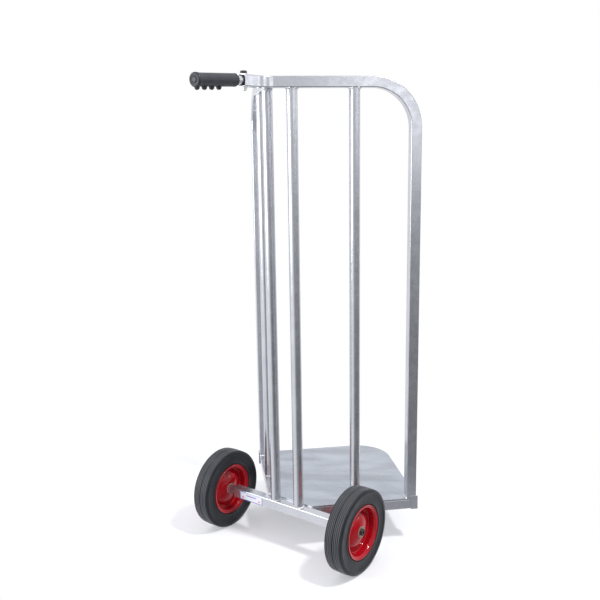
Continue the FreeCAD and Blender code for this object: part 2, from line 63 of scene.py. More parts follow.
SURROUND_DIM = (0.075, 0.078, 0.088, 1)
STRIP_LIGHT = (2.3, 2.33, 2.4, 1)
STRIP_TURNS = (math.radians(43), math.radians(6), math.radians(-26))
STRIP_EDGES = (0.980, 0.994)
STRIP_FOOT = (0.0, 0.06)
FLOOR_COVER = 0.72
FLOOR_MIRRORED = 0.30
LAMP_PLACE = (1.35, -0.02, 2.45)
LAMP_TARGET = (0, 0.1, 0.3)
LAMP_WATTS = 44
PANEL_PLACE = (-1.55, -2.35, 1.15)
PANEL_TARGET = (0, 0, 0.6)
PANEL_WATTS = 51


def link(tree, out, into):
    tree.links.new(out, into)


def number_node(tree, operation, *inputs):
    """Math node fed by sockets or plain numbers; returns its output."""
    node = tree.nodes.new("ShaderNodeMath")
    node.operation = operation
    for index, value in enumerate(inputs):
        if isinstance(value, (int, float)):
            node.inputs[index].default_value = value
        else:
            link(tree, value, node.inputs[index])
    return node.outputs[0]


def smooth_range(tree, value, low, high, to_low=0.0, to_high=1.0):
    """Eased map of a value from low..high onto to_low..to_high."""
    node = tree.nodes.new("ShaderNodeMapRange")
    node.interpolation_type = "SMOOTHSTEP"
    link(tree, value, node.inputs["Value"])
    ends = {"From Min": low, "From Max": high, "To Min": to_low, "To Max": to_high}
    for name, number in ends.items():
        node.inputs[name].default_value = number
    return node.outputs[0]


def colour_mix(tree, share, first, second):
    """Mix two colours, each a socket or a plain colour, by a socket or number."""
    node = tree.nodes.new("ShaderNodeMix")
    node.data_type = "RGBA"
    for index, value in ((0, share), (6, first), (7, second)):
        if isinstance(value, (int, float, tuple)):
            node.inputs[index].default_value = value
        else:
            link(tree, value, node.inputs[index])
    return node.outputs[2]


def shade(colour, times):
    """A colour made lighter or darker."""
    return tuple(min(1, c * times) for c in colour[:3]) + (1,)


def pointing(tree, direction, axis):
    """How nearly a direction points along an axis; 1 where they agree."""
    node = tree.nodes.new("ShaderNodeVectorMath")
    node.operation = "DOT_PRODUCT"
    link(tree, direction, node.inputs[0])
    node.inputs[1].default_value = axis
    return node.outputs["Value"]


def surround():
    """White room with a dim side and strip lights; the camera itself sees plain white."""
    world = bpy.data.worlds.new("surround")
    bpy.context.scene.world = world
    world.use_nodes = True
    tree = world.node_tree
    tree.nodes.clear()
    direction = tree.nodes.new("ShaderNodeTexCoord").outputs["Generated"]
    height = tree.nodes.new("ShaderNodeSeparateXYZ")
    link(tree, direction, height.inputs[0])
    side = smooth_range(tree, pointing(tree, direction, DIM_DIRECTION), *DIM_SPREAD)
    held = number_node(tree, "MINIMUM", height.outputs["Z"], DIM_CEILING)
    glow = number_node(tree, "EXPONENT", number_node(tree, "MULTIPLY", held, DIM_FALL))
    room = tree.nodes.new("ShaderNodeVectorMath")
    room.operation = "MULTIPLY_ADD"
    room.inputs[0].default_value = SURROUND_GLOW[:3]
    link(tree, glow, room.inputs[1])
    room.inputs[2].default_value = SURROUND_DIM[:3]
    seen = tree.nodes.new("ShaderNodeLightPath").outputs["Is Camera Ray"]
    back = tree.nodes.new("ShaderNodeBackground")
    lit = colour_mix(tree, side, SURROUND_BRIGHT, room.outputs[0])
    above = smooth_range(tree, height.outputs["Z"], *STRIP_FOOT)
    for turn in STRIP_TURNS:
        facing = pointing(tree, direction, (math.cos(turn), math.sin(turn), 0))
        strip = smooth_range(tree, facing, *STRIP_EDGES)
        lit = colour_mix(tree, number_node(tree, "MULTIPLY", strip, above), lit, STRIP_LIGHT)
    shown = colour_mix(tree, seen, lit, (1, 1, 1, 1))
    link(tree, shown, back.inputs["Color"])
    link(tree, back.outputs[0], tree.nodes.new("ShaderNodeOutputWorld").inputs[0])


def studio_floor():
    """Level sheet that fades out into the surround away from the truck."""
    mesh = bpy.data.meshes.new("studio_floor")
    corners = [(-1, -1), (1, -1), (1, 1), (-1, 1)]
    mesh.from_pydata([(x * FLOOR_HALF, y * FLOOR_HALF, 0) for x, y in corners], [], [(0, 1, 2, 3)])
    floor = bpy.data.objects.new("studio_floor", mesh)
    bpy.context.scene.collection.objects.link(floor)
    paint = bpy.data.materials.new("floor_paint")
    paint.use_nodes = True
    tree = paint.node_tree
    shader = tree.nodes["Principled BSDF"]
    place = tree.nodes.new("ShaderNodeTexCoord").outputs["Object"]
    speckle = tree.nodes.new("ShaderNodeTexNoise")
    speckle.inputs["Scale"].default_value = 30
    link(tree, place, speckle.inputs["Vector"])
    mottled = colour_mix(tree, speckle.outputs["Fac"], FLOOR_COLOUR, shade(FLOOR_COLOUR, 1.02))
    link(tree, mottled, shader.inputs["Base Color"])
    shader.inputs["Roughness"].default_value = 0.7
    away = tree.nodes.new("ShaderNodeVectorMath")
    away.operation = "LENGTH"
    link(tree, place, away.inputs[0])
    cover = smooth_range(tree, away.outputs["Value"], *FLOOR_FADE, FLOOR_COVER, 0.0)
    # Painted reflection: glossy rays see the floor only faintly and mostly the surround behind it,
    # so shiny faces mirror the surround, dark on its dim side, in place of the floor.
    mirrored = tree.nodes.new("ShaderNodeLightPath").outputs["Is Glossy Ray"]
    kept = smooth_range(tree, mirrored, 0.0, 1.0, 1.0, FLOOR_MIRRORED)
    link(tree, number_node(tree, "MULTIPLY", cover, kept), shader.inputs["Alpha"])
    mesh.materials.append(paint)


def lamp(name, place, target, width, height, watts, colour):
    light = bpy.data.lights.new(name, "AREA")
    light.shape = "RECTANGLE"
    light.size = width
    light.size_y = height
    light.energy = watts
    light.color = colour
    holder = bpy.data.objects.new(name, light)
    bpy.context.scene.collection.objects.link(holder)
    holder.location = place
    holder.rotation_euler = (Vector(target) - Vector(place)).to_track_quat("-Z", "Y").to_euler()


def camera():
    yaw, pitch, roll = CAMERA_YAW, CAMERA_PITCH, CAMERA_ROLL
    flat = math.cos(pitch)
    forward = Vector((-math.sin(yaw) * flat, math.cos(yaw) * flat, math.sin(pitch)))
    level = Vector((math.cos(yaw), math.sin(yaw), 0))
    upright = level.cross(forward)
    right = level * math.cos(roll) + upright * math.sin(roll)
    up = upright * math.cos(roll) - level * math.sin(roll)
    turn = Matrix((right, up, -forward)).transposed().to_4x4()
    holder = bpy.data.objects.new("camera", bpy.data.cameras.new("camera"))
    bpy.context.scene.collection.objects.link(holder)
    holder.matrix_world = Matrix.Translation(CAMERA_PLACE) @ turn
    holder.data.sensor_width = 36
    holder.data.lens = CAMERA_LENS
    holder.data.clip_start = 0.05
    bpy.context.scene.camera = holder


surround()
studio_floor()
camera()
lamp("high_lamp", LAMP_PLACE, LAMP_TARGET, width=0.24, height=0.24, watts=LAMP_WATTS,
     colour=(1.0, 0.99, 0.97))
lamp("soft_panel", PANEL_PLACE, PANEL_TARGET, width=1.9, height=1.5, watts=PANEL_WATTS,
     colour=(0.98, 0.985, 1.0))
bpy.context.scene.view_settings.view_transform = "Standard"


# ---- Welded frame ------------------------------------------------------------------------------
# Square and round steel tube with a steel plate, welded together and sprayed with silver-grey
# enamel. The enamel has fine metal flake and a slight ripple, and lies thicker over the welds.
SILVER_LIGHT = (0.60, 0.61, 0.645, 1)
SILVER_DARK = (0.53, 0.54, 0.575, 1)
# Painted shade: the plate wears the tubes' own enamel, set darker and bluer here for the little
# light its face takes.
SHEET_SHADED_LIGHT = (0.51, 0.545, 0.60, 1)
SHEET_SHADED_DARK = (0.44, 0.475, 0.53, 1)
# Painted highlight: the welds carry the frame's enamel, set lighter here for the bright glints
# along their beads.
WELD_PAINTED_GLINT_LIGHT = (0.78, 0.79, 0.82, 1)
WELD_PAINTED_GLINT_DIM = (0.66, 0.67, 0.70, 1)
ROUND_TUBE_R = 0.0125
SQUARE_HALF = 0.0125
OUTER_UPRIGHT = 0.280
BEAD_R = 0.0028
BEAD_RIPPLE = 0.0036
BEAD_STEP = 0.0008
BEAD_AROUND = 12
TUBE_WELD_HALF = math.radians(66)
FOOT_WELD_FRONT = 0.009
FOOT_WELD_REAR = 0.0140
FOOT_WELD_HALF = 0.009
JOINT_WELD_IN = 0.012
JOINT_WELD_OUT = 0.003
JOINT_WELD_DOWN = 0.022
SPARK = (0.80, 0.81, 0.84, 1)
STREAK_TURN = math.radians(-32)


def finish(name):
    """New material with its shader and a position input in metres."""
    material = bpy.data.materials.new(name)
    material.use_nodes = True
    tree = material.node_tree
    place = tree.nodes.new("ShaderNodeTexCoord").outputs["Object"]
    return material, tree, tree.nodes["Principled BSDF"], place


def noise(tree, place, scale, detail=2.0, stretch=None):
    if stretch:
        scaled = tree.nodes.new("ShaderNodeVectorMath")
        scaled.operation = "MULTIPLY"
        link(tree, place, scaled.inputs[0])
        scaled.inputs[1].default_value = stretch
        place = scaled.outputs[0]
    node = tree.nodes.new("ShaderNodeTexNoise")
    node.inputs["Scale"].default_value = scale
    node.inputs["Detail"].default_value = detail
    link(tree, place, node.inputs["Vector"])
    return node.outputs["Fac"]


def spread(tree, grain, to_low=0.0, to_high=1.0):
    """Noise, which keeps near its middle, widened to fill to_low..to_high."""
    return smooth_range(tree, grain, 0.3, 0.7, to_low, to_high)


def relief(tree, shader, layers):
    """Chain bump layers of (height socket, strength, distance) into the shader's normal."""
    normal = None
    for height, strength, distance in layers:
        bump = tree.nodes.new("ShaderNodeBump")
        bump.inputs["Strength"].default_value = strength
        bump.inputs["Distance"].default_value = distance
        link(tree, height, bump.inputs["Height"])
        if normal is not None:
            link(tree, normal, bump.inputs["Normal"])
        normal = bump.outputs["Normal"]
    link(tree, normal, shader.inputs["Normal"])


def silver_enamel(name, light, dark, metallic, roughness, wave_scale, wave_depth, painted_streaks=0.0):
    """Cloudy metal-flake paint with a slow ripple; its last argument sets how strongly darker
    streaks show, painted reflection that stands for a satin sheet's blotchy reflections.
    """
    material, tree, shader, place = finish(name)
    clouds = spread(tree, noise(tree, place, 9.0, 4.0))
    flake = smooth_range(tree, noise(tree, place, 2600.0, 1.0), 0.35, 0.75)
    base = colour_mix(tree, clouds, dark, light)
    # Painted reflection: darker drawn streaks stand in for the blotchy reflections of the plate's
    # satin face.
    if painted_streaks:
        turn = tree.nodes.new("ShaderNodeVectorRotate")
        turn.rotation_type = "Z_AXIS"
        turn.inputs["Angle"].default_value = STREAK_TURN
        link(tree, place, turn.inputs["Vector"])
        drawn = noise(tree, turn.outputs[0], 8.0, 3.0, (0.6, 2.4, 1.0))
        streak = smooth_range(tree, drawn, 0.40, 0.66)
        painted_streak_share = number_node(tree, "MULTIPLY", streak, painted_streaks)
        base = colour_mix(tree, painted_streak_share, base, shade(dark, 0.60))
    spark = colour_mix(tree, number_node(tree, "MULTIPLY", flake, 0.22), base, SPARK)
    link(tree, spark, shader.inputs["Base Color"])
    shader.inputs["Metallic"].default_value = metallic
    gloss = spread(tree, noise(tree, place, 60.0, 3.0), roughness - 0.03, roughness + 0.05)
    link(tree, gloss, shader.inputs["Roughness"])
    shader.inputs["Coat Weight"].default_value = 0.12
    shader.inputs["Coat Roughness"].default_value = 0.18
    relief(tree, shader, [
        (noise(tree, place, wave_scale, 2.0), 0.5, wave_depth),
        (noise(tree, place, 420.0, 2.0), 0.10, 0.0004),
        (flake, 0.05, 0.0001),
    ])
    return material


tube_enamel = silver_enamel("silver_tube_enamel", SILVER_LIGHT, SILVER_DARK, metallic=0.84,
                            roughness=0.21, wave_scale=30.0, wave_depth=0.0004)
# Painted shade: the plate's darker copy of the tube enamel.
shaded_sheet_enamel = silver_enamel("silver_sheet_enamel", SHEET_SHADED_LIGHT, SHEET_SHADED_DARK, metallic=0.82,
                             roughness=0.30, wave_scale=7.0, wave_depth=0.0030, painted_streaks=0.60)
# Painted highlight: lighter enamel on the weld beads.
weld_enamel = silver_enamel("silver_weld_enamel", WELD_PAINTED_GLINT_LIGHT, WELD_PAINTED_GLINT_DIM, metallic=0.55,
                            roughness=0.24, wave_scale=160.0, wave_depth=0.0006)


def coat(material, *names):
    for name in names:
        mesh = nodes[name].data
        mesh.materials.clear()
        mesh.materials.append(material)


coat(tube_enamel, "axle_crossbar", "front_leg", "hoop_left", "hoop_right")
for side in ("left", "right"):
    coat(tube_enamel, "base_rail_" + side, "inner_upright_" + side, "middle_upright_" + side)
    coat(tube_enamel, "corner_gusset_" + side)
coat(shaded_sheet_enamel, "toe_plate")


def new_piece(name, body, material, vertices, faces):
    """Smooth mesh piece that rides on a body."""
    mesh = bpy.data.meshes.new(name)
    mesh.from_pydata([tuple(v) for v in vertices], [], faces)
    mesh.polygons.foreach_set("use_smooth", [True] * len(mesh.polygons))
    mesh.materials.append(material)
    mesh.update()
    piece = bpy.data.objects.new(name, mesh)
    bpy.context.scene.collection.objects.link(piece)
    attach(piece, body)
    return piece


def ring_faces(rings, around):
    """Faces of a skin whose vertices come as rings of the same number of points."""
    faces = []
    for row in range(0, (rings - 1) * around, around):
        other = row + around
        for step in range(around):
            beside = (step + 1) % around
            faces.append((row + step, row + beside, other + beside, other + step))
    return faces


def weld_rope(path, out, seed):
    """Vertices and faces of a rippled bead along a path; out is its outward side at each point."""
    draw = random.Random(seed)
    around = BEAD_AROUND
    vertices = []
    last = len(path) - 1
    travelled = 0.0
    for index, point in enumerate(path):
        along = (path[min(index + 1, last)] - path[max(index - 1, 0)]).normalized()
        travelled += (point - path[index - 1]).length if index else 0.0
        ripple = abs(math.sin(math.pi * travelled / BEAD_RIPPLE))
        radius = BEAD_R * (0.72 + 0.28 * ripple + draw.uniform(-0.05, 0.05))
        reach = min(index, last - index) / 3
        radius *= math.sin(math.pi / 2 * min(1.0, reach)) * 0.9 + 0.1
        first = out[index] - along * out[index].dot(along)
        first.normalize()
        second = along.cross(first)
        for step in range(around):
            angle = 2 * math.pi * step / around
            lift, slide = math.cos(angle) * radius, math.sin(angle) * radius
            vertices.append(point + first * lift + second * slide)
    faces = ring_faces(len(path), around)
    faces.append(tuple(range(around))[::-1])
    faces.append(tuple(last * around + step for step in range(around)))
    return vertices, faces


def weld(name, runs):
    """One piece of several bead runs, each (path, outward side)."""
    vertices, faces = [], []
    for index, (path, out) in enumerate(runs):
        more, rings = weld_rope(path, out, len(name) * 100 + index)
        faces += [tuple(i + len(vertices) for i in ring) for ring in rings]
        vertices += more
    new_piece(name, "frame", weld_enamel, vertices, faces)


def arc_run(centre, height, radius, middle, half_angle):
    """Bead round part of a round tube's foot or head; middle is the arc's middle direction."""
    steps = max(6, round(2 * half_angle * radius / BEAD_STEP))
    path, out = [], []
    for index in range(steps + 1):
        angle = middle - half_angle + 2 * half_angle * index / steps
        side = Vector((math.cos(angle), math.sin(angle), 0))
        path.append(Vector((centre.x, centre.y, height)) + side * radius)
        out.append(side)
    return path, out


def straight_run(start, end, side):
    """Bead along a straight seam, facing side."""
    steps = max(6, round((end - start).length / BEAD_STEP))
    path = [start.lerp(end, index / steps) for index in range(steps + 1)]
    return path, [Vector(side)] * (steps + 1)


plate_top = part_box("toe_plate")[1].z
base_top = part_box("axle_crossbar")[1].z
rail_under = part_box("middle_upright_right")[1].z
frame_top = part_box("hoop_left")[1].z


def middle_of(name):
    low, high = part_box(name)
    return (low + high) / 2


for side in ("left", "right"):
    inner = middle_of("inner_upright_" + side)
    middle = middle_of("middle_upright_" + side)
    wing = Vector((middle.x - inner.x, middle.y - inner.y, 0)).normalized()
    rear = Vector((wing.y, -wing.x, 0)) * (1 if side == "right" else -1)
    away = math.atan2(wing.y, wing.x)
    bar = 0.0 if side == "right" else math.pi
    lap = TUBE_WELD_HALF
    weld("weld_inner_foot_" + side, [
        arc_run(inner, base_top, ROUND_TUBE_R, bar, lap),
        arc_run(inner, base_top, ROUND_TUBE_R, bar + math.pi, lap),
    ])
    weld("weld_middle_foot_" + side, [
        arc_run(middle, plate_top, ROUND_TUBE_R, away, lap),
        arc_run(middle, plate_top, ROUND_TUBE_R, away + math.pi, lap),
    ])
    for part, centre in (("inner", inner), ("middle", middle)):
        weld("weld_%s_head_%s" % (part, side), [
            arc_run(centre, rail_under, ROUND_TUBE_R, away, lap),
            arc_run(centre, rail_under, ROUND_TUBE_R, away + math.pi, lap),
        ])
    foot = Vector((inner.x, inner.y, plate_top)) + wing * OUTER_UPRIGHT
    ends = []
    for reach in (-1, 1):
        seam = foot + wing * (reach * SQUARE_HALF)
        start, end = seam - rear * FOOT_WELD_FRONT, seam + rear * FOOT_WELD_REAR
        ends.append(straight_run(start, end, wing * reach))
    front = foot - rear * SQUARE_HALF
    half = wing * FOOT_WELD_HALF
    ends.append(straight_run(front - half, front + half, -rear))
    weld("weld_outer_foot_" + side, ends)
    bar_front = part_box("axle_crossbar")[1].y
    joint = inner + wing * ((bar_front - inner.y) / wing.y)
    across = Vector((math.copysign(1, wing.x), 0, 0))
    corner = Vector((joint.x, bar_front, base_top)) + across * (SQUARE_HALF * math.sqrt(2))
    outward = (across + Vector((0, 1, 0))).normalized()
    weld("weld_rail_joint_" + side, [
        straight_run(corner - across * JOINT_WELD_IN, corner + across * JOINT_WELD_OUT,
                     Vector((0, 0, 1))),
        straight_run(corner, corner - Vector((0, 0, JOINT_WELD_DOWN)), outward),
    ])


# ---- Handle ------------------------------------------------------------------------------------
# A bright zinc plated tube runs into a black bush in the frame's neck and is held by a dark bolt
# with a locking nut. A moulded black grip with four finger ridges is pushed over its free end.
GRIP_R = 0.0135
GRIP_START = 0.0075
GRIP_LENGTH = 0.122
GRIP_BORE_R = 0.0103
GRIP_HOLLOW = 0.1178
GRIP_TAIL = 0.0030
GRIP_AROUND = 120
GRIP_STEPS = 240
BUTT_R = 0.0145
BUTT_LENGTH = 0.008
BUTT_FLARE = 0.004
FINGER_PITCH = 0.0212
FINGER_SETBACK = 0.0011
FINGER_COUNT = 4
FINGER_R = 0.0052
FINGER_HALF_WIDTH = 0.0006
FINGER_DROP = 0.0147
FINGER_BLEND = 0.0012
DROOP = math.radians(3)
DROOP_PIVOT_DROP = 0.200


def zinc(name, tint, roughness, brush_scale):
    """Plated steel with faint clouds and a fine brushed grain."""
    material, tree, shader, place = finish(name)
    clouds = spread(tree, noise(tree, place, 90.0, 4.0))
    link(tree, colour_mix(tree, clouds, shade(tint, 0.86), tint), shader.inputs["Base Color"])
    shader.inputs["Metallic"].default_value = 0.95
    grain = noise(tree, place, brush_scale, 3.0)
    gloss = spread(tree, grain, roughness - 0.05, roughness + 0.08)
    link(tree, gloss, shader.inputs["Roughness"])
    relief(tree, shader, [(grain, 0.12, 0.0002)])
    return material


bright_zinc = zinc("bright_zinc", (0.78, 0.79, 0.80, 1), roughness=0.22, brush_scale=700.0)
aged_zinc = zinc("aged_zinc", (0.34, 0.31, 0.23, 1), roughness=0.34, brush_scale=500.0)
coat(bright_zinc, "handle_tube", "handle_washers", "handle_nut")


def moulded(name, colour, roughness, grain_scale):
    """Moulded plastic with a fine grain and slight unevenness in its gloss."""
    material, tree, shader, place = finish(name)
    clouds = spread(tree, noise(tree, place, 45.0, 3.0))
    lighter = shade(colour, 1.35)
    link(tree, colour_mix(tree, clouds, colour, lighter), shader.inputs["Base Color"])
    gloss = spread(tree, noise(tree, place, 120.0, 3.0), roughness - 0.04, roughness + 0.07)
    link(tree, gloss, shader.inputs["Roughness"])
    shader.inputs["Specular IOR Level"].default_value = 0.36
    relief(tree, shader, [(noise(tree, place, grain_scale, 2.0), 0.25, 0.0001)])
    return material


grip_plastic = moulded("grip_plastic", (0.024, 0.026, 0.032, 1), roughness=0.40,
                       grain_scale=1500.0)
black_plastic = moulded("black_plastic", (0.016, 0.016, 0.018, 1), roughness=0.42,
                        grain_scale=1200.0)
black_oxide = moulded("black_oxide_steel", (0.020, 0.020, 0.022, 1), roughness=0.30,
                      grain_scale=900.0)
coat(black_plastic, "neck_bush", "front_leg_foot")
coat(black_oxide, "handle_bolt")


def grip_radius(back, side, down):
    """Distance from the grip's axis to its skin in the direction (side, down), back along it."""
    flare = (back - (GRIP_LENGTH - BUTT_LENGTH - BUTT_FLARE)) / BUTT_FLARE
    flare = max(0.0, min(1.0, flare))
    flare = flare * flare * (3 - 2 * flare)
    skin = GRIP_R + (BUTT_R - GRIP_R) * flare
    skin += 0.0003 * math.exp(-((back - 0.004) / 0.003) ** 2)
    for index in range(FINGER_COUNT):
        middle = GRIP_LENGTH - BUTT_LENGTH + FINGER_SETBACK - FINGER_PITCH * index
        offset = back - middle
        room = GRIP_LENGTH - GRIP_TAIL - middle
        if offset > 0 and room < FINGER_R:
            offset *= FINGER_R / room
        if abs(offset) >= FINGER_R or down <= 0:
            continue
        swell = math.sqrt(FINGER_R ** 2 - offset ** 2)
        reach = 0.0
        for trial in (-FINGER_HALF_WIDTH, 0.0, FINGER_HALF_WIDTH):
            along = side * trial + down * FINGER_DROP
            beside = abs(down * trial - side * FINGER_DROP)
            if beside < swell:
                reach = max(reach, along + math.sqrt(swell ** 2 - beside ** 2))
        if abs(side) / down <= FINGER_HALF_WIDTH / FINGER_DROP:
            reach = max(reach, (FINGER_DROP + swell) / down)
        nearer = max(0.0, FINGER_BLEND - abs(reach - skin)) / FINGER_BLEND
        skin = max(reach, skin) + nearer * nearer * FINGER_BLEND / 4
    return skin


def grip():
    """Moulded grip turned about its own axis, with a hollow for the tube and a ringed butt."""
    mouth = Vector((middle_of("neck_bush").x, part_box("hoop_right")[0].y, 0))
    mouth.z = frame_top - SQUARE_HALF
    rings = []
    around = GRIP_AROUND
    for back, radius in ((0.0, GRIP_BORE_R), (0.0, 0.0118), (0.0, 0.0128), (0.0004, 0.0133)):
        rings.append((back, radius, False))
    tail = GRIP_LENGTH - GRIP_TAIL
    for index in range(1, GRIP_STEPS + 1):
        rings.append((0.0008 + (tail - 0.0008) * index / GRIP_STEPS, None, True))
    for index in range(1, 9):
        angle = math.pi / 2 * index / 8
        radius = BUTT_R - 0.0034 * (1 - math.cos(angle))
        rings.append((tail + 0.0026 * math.sin(angle), radius, False))
    for back, radius in (
        (0.0, 0.0104), (0.0, 0.0098), (0.0007, 0.0094), (0.0009, 0.0088), (0.0009, 0.0072),
        (0.0006, 0.0066), (-0.0003, 0.0058), (-0.0004, 0.0040), (-0.0004, 0.0004),
    ):
        rings.append((tail + 0.0026 - back, radius, False))
    vertices = []
    for back, radius, shaped in rings:
        for step in range(around):
            angle = 2 * math.pi * step / around
            side, down = math.sin(angle), -math.cos(angle)
            length = grip_radius(back, side, down) if shaped else radius
            vertices.append(Vector((side * length, -GRIP_START - back, -down * length)))
    faces = ring_faces(len(rings), around)
    faces.append(tuple((len(rings) - 1) * around + step for step in range(around)))
    sleeve = len(vertices)
    deep = -GRIP_START - GRIP_HOLLOW
    for step in range(around):
        angle = 2 * math.pi * step / around
        side, up = math.sin(angle), math.cos(angle)
        vertices.append(Vector((side * GRIP_BORE_R, deep, up * GRIP_BORE_R)))
    for step in range(around):
        beside = (step + 1) % around
        faces.append((beside, step, sleeve + step, sleeve + beside))
    faces.append(tuple(sleeve + step for step in range(around))[::-1])
    faces = [face[::-1] for face in faces]
    pivot = mouth - Vector((0, 0, DROOP_PIVOT_DROP))
    turn = Matrix.Translation(pivot) @ Matrix.Rotation(DROOP, 4, "X") @ Matrix.Translation(-pivot)
    vertices = [turn @ (mouth + v) for v in vertices]
    piece = new_piece("grip_moulding", "frame", grip_plastic, vertices, faces)
    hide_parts("handle_grip")


grip()


# ---- Wheels ------------------------------------------------------------------------------------
# Each wheel is a solid rubber tyre on a rim of two pressed steel halves in gloss red, welded to a
# short hub tube. Flanged bushes in the hub turn on the axle; a washer and screw keep the wheel on.
TYRE_R = 0.100
TREAD_HALF = 0.020
RIB_PITCH = 0.0046
RIBS_A_SIDE = 4
RIB_MARGIN = 0.0009
MID_GROOVE = 0.0030
GROOVE_DEPTH = 0.0021
CROWN_DROP = 0.0008
HATCHED_FROM_R = 0.0985
TYRE_AROUND = 320
RIM_AROUND = 240
RIM_SHEET = 0.0016
RUBBER_GREY = (0.009, 0.010, 0.0125, 1)
RUBBER_PALER = (0.016, 0.0175, 0.021, 1)
# The next two colours are painted shade for the grooves and a painted highlight for the ribs'
# tops.
RUBBER_GROOVE_PAINTED_SHADE = (0.002, 0.002, 0.003, 1)
RUBBER_CREST_PAINTED_HIGHLIGHT = (0.070, 0.073, 0.082, 1)
RED_DEEP = (0.30, 0.0015, 0.006, 1)
RED_BRIGHT = (0.38, 0.002, 0.009, 1)
HATCH_ROUND = 1900.0
HATCH_ACROSS = 3300.0


def rubber():
    """Dark rubber with painted shade in the grooves and a painted highlight on the ribs' tops, and
    a fine diamond hatch on the tread.
    """
    material, tree, shader, place = finish("tyre_rubber")
    wrap = tree.nodes.new("ShaderNodeUVMap")
    wrap.uv_map = "wrap"
    parts = tree.nodes.new("ShaderNodeSeparateXYZ")
    link(tree, wrap.outputs["UV"], parts.inputs[0])
    clouds = spread(tree, noise(tree, place, 25.0, 5.0))
    skin = colour_mix(tree, clouds, RUBBER_GREY, RUBBER_PALER)
    # Painted shade and highlight: the grooves go near black and the ribs' tops turn paler,
    # standing for the light lines along the ribs.
    crest = tree.nodes.new("ShaderNodeAttribute")
    crest.attribute_name = "crest"
    risen = smooth_range(tree, crest.outputs["Fac"], 0.0, 0.5)
    shaded = colour_mix(tree, risen, RUBBER_GROOVE_PAINTED_SHADE, skin)
    crest_painted_highlight = smooth_range(tree, crest.outputs["Fac"], 0.90, 0.995, 0.0, 0.85)
    link(tree, colour_mix(tree, crest_painted_highlight, shaded, RUBBER_CREST_PAINTED_HIGHLIGHT), shader.inputs["Base Color"])
    gloss = spread(tree, noise(tree, place, 70.0, 4.0), 0.34, 0.46)
    link(tree, gloss, shader.inputs["Roughness"])
    shader.inputs["Specular IOR Level"].default_value = 0.30
    shader.inputs["Sheen Weight"].default_value = 0.06
    shader.inputs["Sheen Roughness"].default_value = 0.5
    shader.inputs["Sheen Tint"].default_value = (0.75, 0.80, 0.95, 1)
    round_the_tyre = number_node(tree, "MULTIPLY", parts.outputs["X"], HATCH_ROUND)
    across = number_node(tree, "MULTIPLY", parts.outputs["Y"], HATCH_ACROSS)
    one = number_node(tree, "SINE", number_node(tree, "ADD", round_the_tyre, across))
    other = number_node(tree, "SINE", number_node(tree, "SUBTRACT", round_the_tyre, across))
    hatch = number_node(tree, "MULTIPLY", one, other)
    tread = tree.nodes.new("ShaderNodeAttribute")
    tread.attribute_name = "tread"
    hatch = number_node(tree, "MULTIPLY", hatch, tread.outputs["Fac"])
    relief(tree, shader, [(hatch, 0.5, 0.0002), (noise(tree, place, 900.0, 3.0), 0.15, 0.0002)])
    return material


def red_enamel():
    """Deep gloss red with a slight orange-peel ripple."""
    material, tree, shader, place = finish("red_rim_enamel")
    clouds = spread(tree, noise(tree, place, 30.0, 4.0))
    link(tree, colour_mix(tree, clouds, RED_DEEP, RED_BRIGHT), shader.inputs["Base Color"])
    gloss = spread(tree, noise(tree, place, 150.0, 3.0), 0.07, 0.13)
    link(tree, gloss, shader.inputs["Roughness"])
    shader.inputs["Specular IOR Level"].default_value = 0.32
    shader.inputs["Coat Weight"].default_value = 0.14
    shader.inputs["Coat Roughness"].default_value = 0.05
    relief(tree, shader, [
        (noise(tree, place, 55.0, 3.0), 0.35, 0.0006),
        (noise(tree, place, 500.0, 2.0), 0.08, 0.0003),
    ])
    return material


tyre_rubber = rubber()
rim_enamel = red_enamel()
nylon = moulded("bush_nylon", (0.42, 0.40, 0.33, 1), roughness=0.45, grain_scale=900.0)


def rounded(points, rounds):
    """Corner-cut an open line of points; its ends stay."""
    for _ in range(rounds):
        cut = [points[0]]
        for (x0, r0), (x1, r1) in zip(points, points[1:]):
            cut.append((0.75 * x0 + 0.25 * x1, 0.75 * r0 + 0.25 * r1))
            cut.append((0.25 * x0 + 0.75 * x1, 0.25 * r0 + 0.75 * r1))
        points = cut + [points[-1]]
    return points


def turned(name, body, material, outline, centre, side, around):
    """Closed outline of (x, radius) turned about the wheel's axis; UVs are lengths in metres."""
    count = len(outline)
    vertices = []
    for step in range(around):
        angle = 2 * math.pi * step / around
        ahead, up = math.cos(angle), math.sin(angle)
        for x, radius in outline:
            y, z = centre.y + radius * ahead, centre.z + radius * up
            vertices.append((centre.x + side * x, y, z))
    faces = []
    for step in range(around):
        row, other = step * count, ((step + 1) % around) * count
        for index in range(count):
            beside = (index + 1) % count
            ring = (row + index, row + beside, other + beside, other + index)
            faces.append(ring if side > 0 else ring[::-1])
    piece = new_piece(name, body, material, vertices, faces)
    lengths = [0.0]
    for (x0, r0), (x1, r1) in zip(outline, outline[1:] + outline[:1]):
        lengths.append(lengths[-1] + math.hypot(x1 - x0, r1 - r0))
    wrap = piece.data.uv_layers.new(name="wrap")
    for step in range(around):
        for index in range(count):
            corners = [(step, index), (step, index + 1), (step + 1, index + 1), (step + 1, index)]
            corners = corners if side > 0 else corners[::-1]
            for offset, (turn, along) in enumerate(corners):
                uv = (2 * math.pi * TYRE_R * turn / around, lengths[along])
                wrap.data[(step * count + index) * 4 + offset].uv = uv
    return piece


def tread_height(x):
    """Skin radius across the tread: a row of rounded ribs each side of a middle groove."""
    skin = TYRE_R - CROWN_DROP * (x / TREAD_HALF) ** 2
    if abs(x) > RIBS_A_SIDE * RIB_PITCH + RIB_MARGIN:
        return skin
    if abs(x) < MID_GROOVE / 2:
        return skin - GROOVE_DEPTH
    across = abs(x) / RIB_PITCH % 1.0
    crest = math.sin(math.pi * across)
    return skin - GROOVE_DEPTH * (1 - math.sqrt(crest)) ** 2


